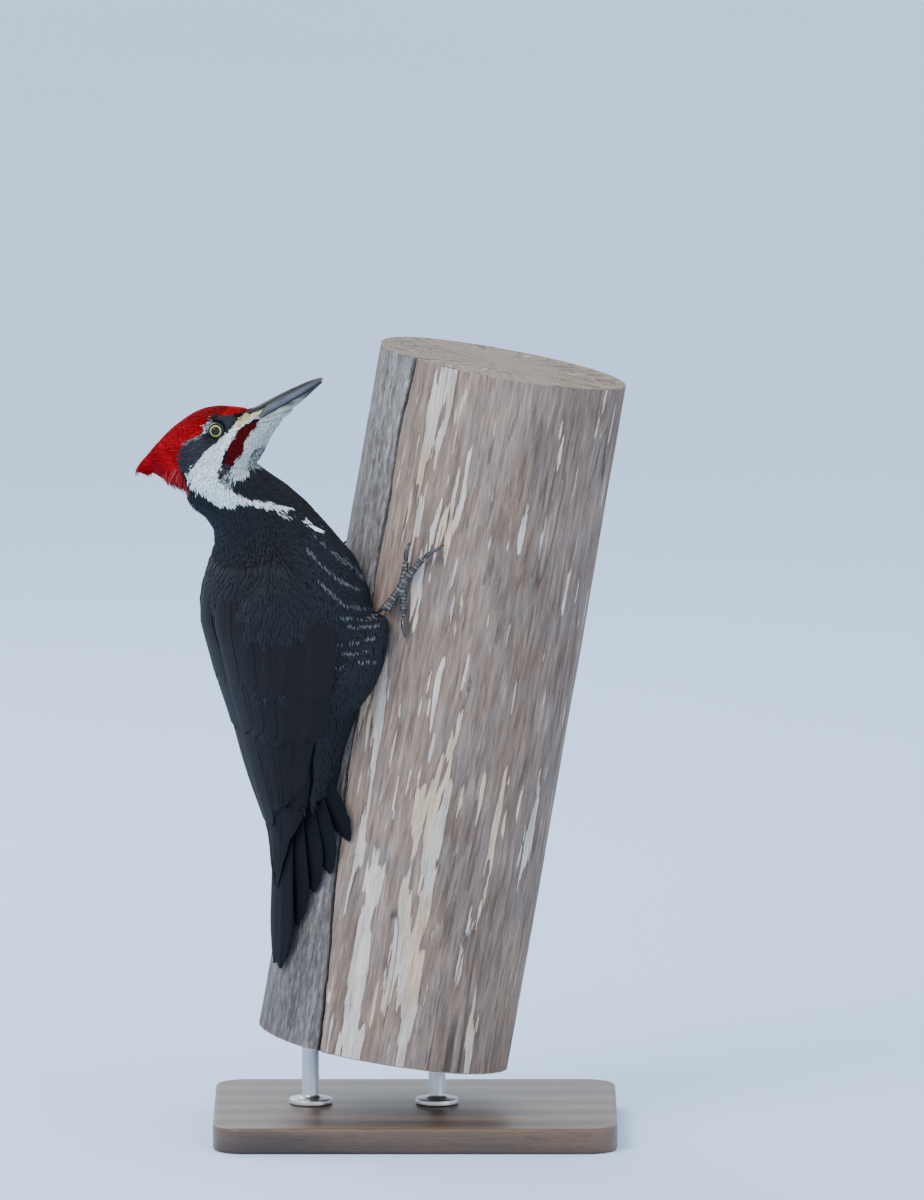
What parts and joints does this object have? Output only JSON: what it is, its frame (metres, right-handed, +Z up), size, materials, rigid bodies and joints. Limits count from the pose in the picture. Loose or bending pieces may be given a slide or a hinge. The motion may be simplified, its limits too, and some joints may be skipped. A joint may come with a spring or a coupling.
{
  "type": "pileated woodpecker",
  "caption": "Still life-size pileated woodpecker clinging to a short cut length of bare leaning trunk, held on a flat base by rods.",
  "frame": {"origin": "centre of the stand base's underside, on the floor", "axes": "+Z up, +X the way the bill points, -Y the side its right wing is on"},
  "size_m": [0.3387, 0.2253, 0.5527],
  "materials": {
    "plumage": "soft charcoal-black feathers",
    "crest": "bright red feathers",
    "bill": "satin slate horn",
    "eye": "wet, pale yellow iris",
    "scales": "grey scaled skin",
    "claw": "dark horn",
    "bare_wood": "weathered wood without bark",
    "plinth": "dark oiled wood",
    "rod": "brushed"
  },
  "bodies": {
    "root": {"head": "plumage", "crest": "crest", "bill_upper": "bill", "bill_lower": "bill", "eye_right": "eye", "eye_left": "eye", "neck": "plumage", "torso": "plumage", "wing_right": "plumage", "wing_left": "plumage", "tail": "plumage", "thigh_right": "plumage", "foot_right": "scales", "tarsus_right": "scales", "claw_inner_right": "claw", "claw_middle_right": "claw", "claw_outer_right": "claw", "claw_hind_right": "claw", "thigh_left": "plumage", "foot_left": "scales", "tarsus_left": "scales", "claw_inner_left": "claw", "claw_middle_left": "claw", "claw_outer_left": "claw", "claw_hind_left": "claw", "perch_trunk": "bare_wood", "stand_base": "plinth", "stand_rod_left": "rod", "stand_rod_right": "rod"}
  },
  "joints": []
}
